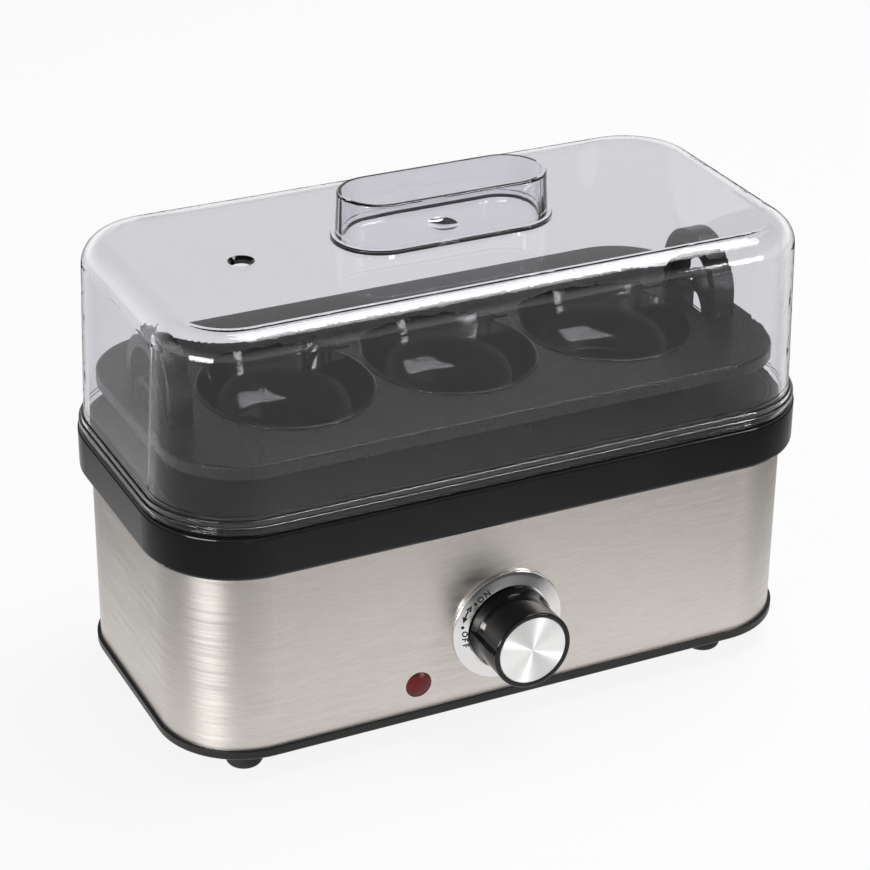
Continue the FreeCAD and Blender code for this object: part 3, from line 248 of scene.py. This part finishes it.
def emboss(material, shader, factor, depth):
    """The factor as a relief of this depth in metres."""
    nodes, links = material.node_tree.nodes, material.node_tree.links
    bump = nodes.new("ShaderNodeBump")
    bump.inputs["Distance"].default_value = depth
    links.new(factor, bump.inputs["Height"])
    links.new(bump.outputs["Normal"], shader.inputs["Normal"])


def scaled(colour, factor):
    return tuple(part * factor for part in colour)


def moulded_plastic(name, colour, roughness, spots, depth):
    """Moulded plastic: gloss and relief follow the skin's grain, the tone a slow cloud."""
    material, shader = new_finish(name, colour, roughness)
    skin = grain(material, spots)
    cloud = grain(material, MOULDING_CLOUD)
    tint(material, cloud, scaled(colour, 0.85), scaled(colour, 1.2), shader.inputs["Base Color"])
    vary(material, skin, roughness - 0.06, roughness + 0.08, shader.inputs["Roughness"])
    emboss(material, shader, skin, depth)
    shader.inputs["Specular IOR Level"].default_value = PLASTIC_SHINE
    return material


def dress(material, *nodes):
    for node in nodes:
        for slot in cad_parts[node].material_slots:
            slot.material = material


pan_plastic = moulded_plastic("pan_plastic", PAN_BLACK, roughness=0.38, spots=0.0007, depth=0.00003)
dress(pan_plastic, "base_pan")
gland_plastic = moulded_plastic("gland_plastic", GLAND_BLACK, roughness=0.55, spots=0.0009, depth=0.00004)
dress(gland_plastic, "cord_gland")

# ---------------------------------------------------------------- feet and body screws
# Four turned rubber feet snap into the pan by their barbed pegs. Four zinc-plated screws go up
# through the pan into the collar's posts and clamp the sleeve between the two mouldings.
FOOT_BLACK = (0.012, 0.012, 0.013)
ZINC_GREY = (0.52, 0.52, 0.50)
PLATE_CLOUD = 0.012         # size of the slow change of tone in the plating, in metres
PLATE_MARKS = 0.0006
PLATE_MARK_DEPTH = 0.00001


def plated_steel(name, colour, roughness):
    """Plated or rolled metal, a little uneven in tone, with fine handling marks."""
    material, shader = new_finish(name, colour, roughness, metallic=1.0)
    cloud = grain(material, PLATE_CLOUD)
    marks = grain(material, PLATE_MARKS, stretch=(6, 1, 1), detail=4.0)
    tint(material, cloud, scaled(colour, 0.88), scaled(colour, 1.1), shader.inputs["Base Color"])
    vary(material, marks, roughness - 0.08, roughness + 0.1, shader.inputs["Roughness"])
    emboss(material, shader, marks, PLATE_MARK_DEPTH)
    return material


foot_rubber = moulded_plastic("foot_rubber", FOOT_BLACK, roughness=0.66, spots=0.0006, depth=0.00004)
dress(foot_rubber, "foot_front_left", "foot_front_right", "foot_rear_left", "foot_rear_right")
zinc_plate = plated_steel("zinc_plate", ZINC_GREY, roughness=0.32)
dress(zinc_plate, "body_screws")

# ---------------------------------------------------------------- steel sleeve
# One strip of thin stainless steel, brushed along its length, is wrapped round the housing and
# locked at the rear. It slides up into the collar and stands on the pan's lip.
STEEL_DARK = (0.564, 0.526, 0.494)
STEEL_LIGHT = (0.650, 0.611, 0.573)
STEEL_ROUGHNESS = (0.30, 0.42)
BRUSH_LINE = 0.00022        # height of the brushed lines and of the bands they gather in
BRUSH_BAND = 0.0012
BRUSH_DEPTH = 0.000006
BRUSHING = 0.6              # how far highlights draw out across the lines
CROSS_LINES = 0.25          # a quarter turn, from along the lines to across them


def brushed_steel():
    material, shader = new_finish("brushed_steel", STEEL_LIGHT, STEEL_ROUGHNESS[0], metallic=1.0)
    nodes, links = material.node_tree.nodes, material.node_tree.links
    lines = grain(material, BRUSH_LINE, stretch=(22, 22, 1), detail=3.0)
    bands = grain(material, BRUSH_BAND, stretch=(30, 30, 1))
    tint(material, lines, STEEL_DARK, STEEL_LIGHT, shader.inputs["Base Color"])
    vary(material, bands, *STEEL_ROUGHNESS, shader.inputs["Roughness"])
    emboss(material, shader, lines, BRUSH_DEPTH)
    shader.inputs["Anisotropic"].default_value = BRUSHING
    shader.inputs["Anisotropic Rotation"].default_value = CROSS_LINES
    around = nodes.new("ShaderNodeTangent")
    around.direction_type = "RADIAL"
    around.axis = "Z"
    links.new(around.outputs["Tangent"], shader.inputs["Tangent"])
    return material


dress(brushed_steel(), "housing_sleeve")

# ---------------------------------------------------------------- heating parts
# A sheathed element lies against the dish's underside, held by a bar, a strip and one nut, with
# a thermostat and a thermal fuse on the strip and a thin heat shield below them.
SHEATH_GREY = (0.30, 0.29, 0.28)
CERAMIC_WHITE = (0.80, 0.78, 0.72)
FUSE_SILVER = (0.70, 0.70, 0.70)
BRASS_YELLOW = (0.72, 0.52, 0.22)

dress(plated_steel("element_sheath", SHEATH_GREY, roughness=0.45), "heating_element")
dress(zinc_plate, "element_pins", "dish_stud", "clamp_bar", "clamp_strip", "heat_shield", "stud_nut")
ceramic_glaze = moulded_plastic("ceramic_glaze", CERAMIC_WHITE, roughness=0.3, spots=0.0012, depth=0.00001)
dress(ceramic_glaze, "thermostat")
dress(plated_steel("bright_plate", FUSE_SILVER, roughness=0.16), "thermal_fuse")
brass = plated_steel("brass", BRASS_YELLOW, roughness=0.28)
dress(brass, "earth_tag")

# ---------------------------------------------------------------- wires and terminal block
# Silicone-sleeved leads run from a three-way nylon block by the inlet to the switch, lamp,
# thermostat and element: brown live, blue neutral, green earth and white for the lamp.
WIRE_COLOURS = {
    "wire_brown": ((0.16, 0.055, 0.02), ("wire_live", "wire_switched", "wire_thermostat", "wire_element")),
    "wire_blue": ((0.02, 0.09, 0.42), ("wire_neutral",)),
    "wire_green": ((0.04, 0.30, 0.06), ("wire_earth",)),
    "wire_white": ((0.74, 0.73, 0.70), ("lamp_leads",)),
}
NYLON_WHITE = (0.74, 0.73, 0.69)

for wire_name, (wire_colour, wire_nodes) in WIRE_COLOURS.items():
    wire_sleeve = moulded_plastic(wire_name, wire_colour, roughness=0.42, spots=0.0008, depth=0.00001)
    dress(wire_sleeve, *wire_nodes)
nylon = moulded_plastic("white_nylon", NYLON_WHITE, roughness=0.38, spots=0.0008, depth=0.00001)
dress(nylon, "terminal_block")
dress(brass, "terminal_screws")

# ---------------------------------------------------------------- pilot lamp
# A clear red lens with a domed face is pushed through the sleeve, and its stem sits in a white
# holder that a spring clip locks from inside.
LENS_RED = (0.14, 0.002, 0.004)
LENS_ROUGHNESS = (0.2, 0.35)
LENS_FACETS = 0.004
LENS_CLEARNESS = 0.35
LENS_SHINE = 0.25


def lamp_red():
    material, shader = new_finish("lamp_red", LENS_RED, LENS_ROUGHNESS[0])
    facets = grain(material, LENS_FACETS)
    tint(material, facets, scaled(LENS_RED, 0.7), scaled(LENS_RED, 1.3), shader.inputs["Base Color"])
    vary(material, facets, *LENS_ROUGHNESS, shader.inputs["Roughness"])
    shader.inputs["Transmission Weight"].default_value = LENS_CLEARNESS
    shader.inputs["Specular IOR Level"].default_value = LENS_SHINE
    return material


dress(lamp_red(), "lamp_lens")
dress(nylon, "lamp_holder", "switch_shaft")
dress(zinc_plate, "lamp_clip")

# ---------------------------------------------------------------- rotary switch
# A black phenolic body with two blade terminals is held behind the sleeve by its threaded bush,
# a washer and a thin nut.
SWITCH_BLACK = (0.018, 0.017, 0.016)

phenolic = moulded_plastic("phenolic_black", SWITCH_BLACK, roughness=0.42, spots=0.0008, depth=0.00002)
dress(phenolic, "rotary_switch")
dress(zinc_plate, "switch_washer", "switch_nut", "knob_clip")

# ---------------------------------------------------------------- dial ring and its print
# The ring is turned and chrome plated, and its printed face slopes back to a bright rim. ON,
# OFF, two dots and a double arrow are pad-printed on that slope in black ink.
RING_SILVER = (0.72, 0.71, 0.70)
RING_LINES = 0.0002         # pitch of the turned lines, and their depth
RING_LINE_DEPTH = 0.000004
RIM_START = 0.0180          # radius where the satin face turns into the polished rim
RIM_BLEND = 0.0002
FACE_ROUGHNESS = 0.17
RIM_ROUGHNESS = 0.05
SLOPE_START = 0.01483       # the sloping face's inner radius, its width and its set-back
SLOPE_WIDTH = 0.00452
SLOPE_DROP = 0.0012
SLOPE = math.atan2(SLOPE_DROP, SLOPE_WIDTH)
INK_BLACK = (0.015, 0.015, 0.016)
INK_ROUGHNESS = (0.5, 0.6)
INK_SPOTS = 0.0006
INK_SHINE = 0.1
INK_DEPTH = 0.00004
LETTER_HEIGHT = 0.0026
LETTER_BOLDNESS = 0.0001
LETTER_RADIUS = 0.0159
DOT_RADIUS = 0.00055
DOT_SIDES = 16
ARROW_RADIUS = 0.0170
ARROW_WIDTH = 0.0005
ARROW_HEAD_LENGTH = 0.0021
ARROW_HEAD_WIDTH = 0.0019
ARROW_STEPS = 8
dial_low, dial_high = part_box("dial_ring")
dial_centre = Vector(((dial_low.x + dial_high.x) / 2, dial_low.y, (dial_low.z + dial_high.z) / 2))


def from_centre(material, centre):
    """Distance of a point from a line along Y through the centre, in metres."""
    nodes, links = material.node_tree.nodes, material.node_tree.links
    place = nodes.new("ShaderNodeTexCoord")
    shift = nodes.new("ShaderNodeVectorMath")
    shift.operation = "SUBTRACT"
    shift.inputs[1].default_value = centre
    flatten = nodes.new("ShaderNodeVectorMath")
    flatten.operation = "MULTIPLY"
    flatten.inputs[1].default_value = (1, 0, 1)
    length = nodes.new("ShaderNodeVectorMath")
    length.operation = "LENGTH"
    links.new(place.outputs["Object"], shift.inputs[0])
    links.new(shift.outputs["Vector"], flatten.inputs[0])
    links.new(flatten.outputs["Vector"], length.inputs[0])
    return length.outputs["Value"]


def turned_rings(material, radius, pitch):
    """Fine concentric tool lines, as an uneven wave of the radius."""
    nodes, links = material.node_tree.nodes, material.node_tree.links
    noise = nodes.new("ShaderNodeTexNoise")
    noise.noise_dimensions = "1D"
    noise.inputs["Scale"].default_value = 1 / pitch
    noise.inputs["Detail"].default_value = 2
    links.new(radius, noise.inputs["W"])
    return noise.outputs["Fac"]


def spin(material, shader, amount):
    """Highlights draw out across the turned lines."""
    nodes, links = material.node_tree.nodes, material.node_tree.links
    shader.inputs["Anisotropic"].default_value = amount
    shader.inputs["Anisotropic Rotation"].default_value = CROSS_LINES
    around = nodes.new("ShaderNodeTangent")
    around.direction_type = "RADIAL"
    around.axis = "Y"
    links.new(around.outputs["Tangent"], shader.inputs["Tangent"])


def ring_silver():
    material, shader = new_finish("ring_silver", RING_SILVER, FACE_ROUGHNESS, metallic=1.0)
    nodes, links = material.node_tree.nodes, material.node_tree.links
    radius = from_centre(material, dial_centre)
    lines = turned_rings(material, radius, RING_LINES)
    tint(material, lines, scaled(RING_SILVER, 0.9), scaled(RING_SILVER, 1.1), shader.inputs["Base Color"])
    step = nodes.new("ShaderNodeMapRange")
    step.inputs["From Min"].default_value = RIM_START - RIM_BLEND
    step.inputs["From Max"].default_value = RIM_START + RIM_BLEND
    step.inputs["To Min"].default_value = FACE_ROUGHNESS
    step.inputs["To Max"].default_value = RIM_ROUGHNESS
    links.new(radius, step.inputs["Value"])
    links.new(step.outputs["Result"], shader.inputs["Roughness"])
    emboss(material, shader, lines, RING_LINE_DEPTH)
    return material


def ink_finish():
    material, shader = new_finish("dial_ink", INK_BLACK, INK_ROUGHNESS[0])
    cloud = grain(material, INK_SPOTS)
    tint(material, cloud, scaled(INK_BLACK, 0.7), scaled(INK_BLACK, 1.4), shader.inputs["Base Color"])
    vary(material, cloud, *INK_ROUGHNESS, shader.inputs["Roughness"])
    shader.inputs["Specular IOR Level"].default_value = INK_SHINE
    return material


def on_dial(angle, radius):
    """Places a flat mark on the sloping face: angle in degrees, counter-clockwise from the right."""
    turn = Matrix.Rotation(math.radians(90 - angle), 4, "Y")
    set_back = (radius - SLOPE_START) * math.tan(SLOPE)
    return Matrix.Translation(dial_centre) @ turn @ Matrix.Translation((0, set_back, radius))


def printed_letter(name, letter, angle, top_outward):
    curve = bpy.data.curves.new(name, "FONT")
    curve.body = letter
    curve.size = LETTER_HEIGHT
    curve.extrude = INK_DEPTH / 2
    curve.offset = LETTER_BOLDNESS
    curve.align_x = "CENTER"
    curve.align_y = "CENTER"
    mark = bpy.data.objects.new(name, curve)
    bpy.context.collection.objects.link(mark)
    upright = Matrix.Rotation(math.radians(90), 4, "X")
    flip = Matrix.Rotation(0 if top_outward else math.pi, 4, "Y")
    lean = Matrix.Rotation(-SLOPE, 4, "X")
    mark.matrix_world = on_dial(angle, LETTER_RADIUS) @ lean @ flip @ upright
    return mark


def printed_shape(name, outline):
    """A flat printed shape from (angle, radius) corners on the dial."""
    mesh = bpy.data.meshes.new(name)
    builder = bmesh.new()
    corners = [builder.verts.new(on_dial(angle, radius).translation) for angle, radius in outline]
    face = builder.faces.new(corners)
    grown = bmesh.ops.extrude_face_region(builder, geom=[face])
    lifted = [part for part in grown["geom"] if isinstance(part, bmesh.types.BMVert)]
    bmesh.ops.translate(builder, verts=lifted, vec=(0, -INK_DEPTH / 2, 0))
    bmesh.ops.recalc_face_normals(builder, faces=builder.faces)
    builder.to_mesh(mesh)
    builder.free()
    mark = bpy.data.objects.new(name, mesh)
    bpy.context.collection.objects.link(mark)
    return mark


def printed_dot(name, angle, radius):
    centre = on_dial(angle, radius).translation - dial_centre
    outline = []
    for step in range(DOT_SIDES):
        turn = math.tau * step / DOT_SIDES
        x = centre.x + DOT_RADIUS * math.cos(turn)
        z = centre.z + DOT_RADIUS * math.sin(turn)
        outline.append((math.degrees(math.atan2(z, x)), math.hypot(x, z)))
    return printed_shape(name, outline)


def double_arrow(start, end):
    """A thin arc with an arrowhead at each end; angles in degrees."""
    head_angle = math.degrees(ARROW_HEAD_LENGTH / ARROW_RADIUS)
    low, high = start + head_angle, end - head_angle
    line_out, line_in = ARROW_RADIUS + ARROW_WIDTH / 2, ARROW_RADIUS - ARROW_WIDTH / 2
    head_out, head_in = ARROW_RADIUS + ARROW_HEAD_WIDTH / 2, ARROW_RADIUS - ARROW_HEAD_WIDTH / 2
    angles = [low + (high - low) * step / ARROW_STEPS for step in range(ARROW_STEPS + 1)]
    outer = [(angle, line_out) for angle in angles]
    inner = [(angle, line_in) for angle in reversed(angles)]
    tip_high = [(high, head_out), (end, ARROW_RADIUS), (high, head_in)]
    tip_low = [(low, head_in), (start, ARROW_RADIUS), (low, head_out)]
    return printed_shape("dial_arrow", outer + tip_high + inner + tip_low)


dress(ring_silver(), "dial_ring")
ink = ink_finish()
marks = [
    printed_letter("dial_on_o", "O", 130.1, top_outward=True),
    printed_letter("dial_on_n", "N", 120.4, top_outward=True),
    printed_letter("dial_off_o", "O", 176.9, top_outward=False),
    printed_letter("dial_off_f_first", "F", 184.6, top_outward=False),
    printed_letter("dial_off_f_second", "F", 192.6, top_outward=False),
    printed_dot("dial_dot_off", 168.6, radius=0.0168),
    printed_dot("dial_dot_on", 137.9, radius=0.0163),
    double_arrow(141.4, 163.6),
]
for mark in marks:
    mark.data.materials.append(ink)
    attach(mark, "base")

# ---------------------------------------------------------------- knob and its cap
# A hollow glossy ABS knob with a flared skirt grips the switch shaft by a spring clip. Its face
# is a thin spun aluminium disc, glued into a shallow recess.
KNOB_BLACK = (0.004, 0.004, 0.0042)
CAP_SILVER = (0.96, 0.955, 0.945)
CAP_ROUGHNESS = (0.38, 0.46)
CAP_LINES = 0.00018         # pitch of the spun lines, and their depth
CAP_LINE_DEPTH = 0.000002
CAP_SPIN = 0.93
GLOSS_CLOUD = 0.02          # size of the long wave and of the change of gloss, in metres
GLOSS_PATCHES = 0.004
cap_low, cap_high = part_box("knob_cap")
cap_centre = (cap_low + cap_high) / 2


def gloss_plastic(name, colour, roughness, wave):
    """Polished moulding: near-mirror gloss over a faint long wave left by the tool."""
    material, shader = new_finish(name, colour, roughness)
    cloud = grain(material, GLOSS_CLOUD)
    patches = grain(material, GLOSS_PATCHES)
    tint(material, cloud, scaled(colour, 0.8), scaled(colour, 1.25), shader.inputs["Base Color"])
    vary(material, patches, roughness - 0.03, roughness + 0.03, shader.inputs["Roughness"])
    emboss(material, shader, cloud, wave)
    shader.inputs["Specular IOR Level"].default_value = PLASTIC_SHINE
    return material


def spun_aluminium():
    material, shader = new_finish("spun_aluminium", CAP_SILVER, CAP_ROUGHNESS[0], metallic=1.0)
    radius = from_centre(material, cap_centre)
    lines = turned_rings(material, radius, CAP_LINES)
    tint(material, lines, scaled(CAP_SILVER, 0.93), scaled(CAP_SILVER, 1.04), shader.inputs["Base Color"])
    vary(material, lines, *CAP_ROUGHNESS, shader.inputs["Roughness"])
    emboss(material, shader, lines, CAP_LINE_DEPTH)
    spin(material, shader, CAP_SPIN)
    return material


dress(gloss_plastic("knob_gloss", KNOB_BLACK, roughness=0.09, wave=0.00004), "knob_body")
dress(spun_aluminium(), "knob_cap")

# ---------------------------------------------------------------- collar
# A polished black moulding caps the sleeve and carries the dish, the rack and the lid. Its inner
# channel takes the steel's top edge.
COLLAR_BLACK = (0.004, 0.004, 0.004)

dress(gloss_plastic("collar_gloss", COLLAR_BLACK, roughness=0.12, wave=0.00006), "collar")

# ---------------------------------------------------------------- water dish
# The dish is deep-drawn and coated in dark non-stick enamel, on a silicone seal, screwed up
# against the collar's ledge.
DISH_BLACK = (0.012, 0.012, 0.012)
SEAL_GREY = (0.42, 0.42, 0.40)

dish_enamel = moulded_plastic("dish_enamel", DISH_BLACK, roughness=0.34, spots=0.0006, depth=0.000015)
dress(dish_enamel, "water_dish")
dress(zinc_plate, "dish_screws")
seal_silicone = moulded_plastic("seal_silicone", SEAL_GREY, roughness=0.5, spots=0.0009, depth=0.00001)
dress(seal_silicone, "dish_seal")

# ---------------------------------------------------------------- egg rack and poaching tray
# Both are moulded in heat-proof black plastic with a satin skin. The rack carries six eggs, and
# the tray, on the cups' floors, takes three cups; each is lifted by two arched straps.
RACK_BLACK = (0.006, 0.006, 0.006)
TRAY_BLACK = (0.008, 0.0077, 0.0075)

rack_plastic = moulded_plastic("rack_plastic", RACK_BLACK, roughness=0.34, spots=0.0006, depth=0.00002)
dress(rack_plastic, "egg_rack")
tray_plastic = moulded_plastic("tray_plastic", TRAY_BLACK, roughness=0.3, spots=0.0006, depth=0.000015)
dress(tray_plastic, "poaching_tray")

# ---------------------------------------------------------------- poaching cups
# Three oval cups, pressed and coated in glossy black non-stick enamel, drop into the tray and
# hang by their rolled rims.
CUP_BLACK = (0.004, 0.0037, 0.0037)

cup_gloss = gloss_plastic("cup_gloss", CUP_BLACK, roughness=0.08, wave=0.00005)
dress(cup_gloss, "poaching_cup_left", "poaching_cup_middle", "poaching_cup_right")

# ---------------------------------------------------------------- lid
# The lid is moulded in one piece of clear styrene plastic with a faint cool tint, a stepped rim
# that rests on the collar and a hollow ring as its handle.
LID_CLEAR = (0.925, 0.918, 0.945)
LID_FLOW = 0.05             # size of the faint haze left by the melt's flow, in metres
LID_HAZE = 0.01
STYRENE_IOR = 1.49


def clear_plastic():
    material, shader = new_finish("clear_plastic", LID_CLEAR, LID_HAZE)
    flow = grain(material, LID_FLOW)
    vary(material, flow, 0.0, LID_HAZE, shader.inputs["Roughness"])
    shader.inputs["Transmission Weight"].default_value = 1.0
    shader.inputs["IOR"].default_value = STYRENE_IOR
    return material


dress(clear_plastic(), "lid")
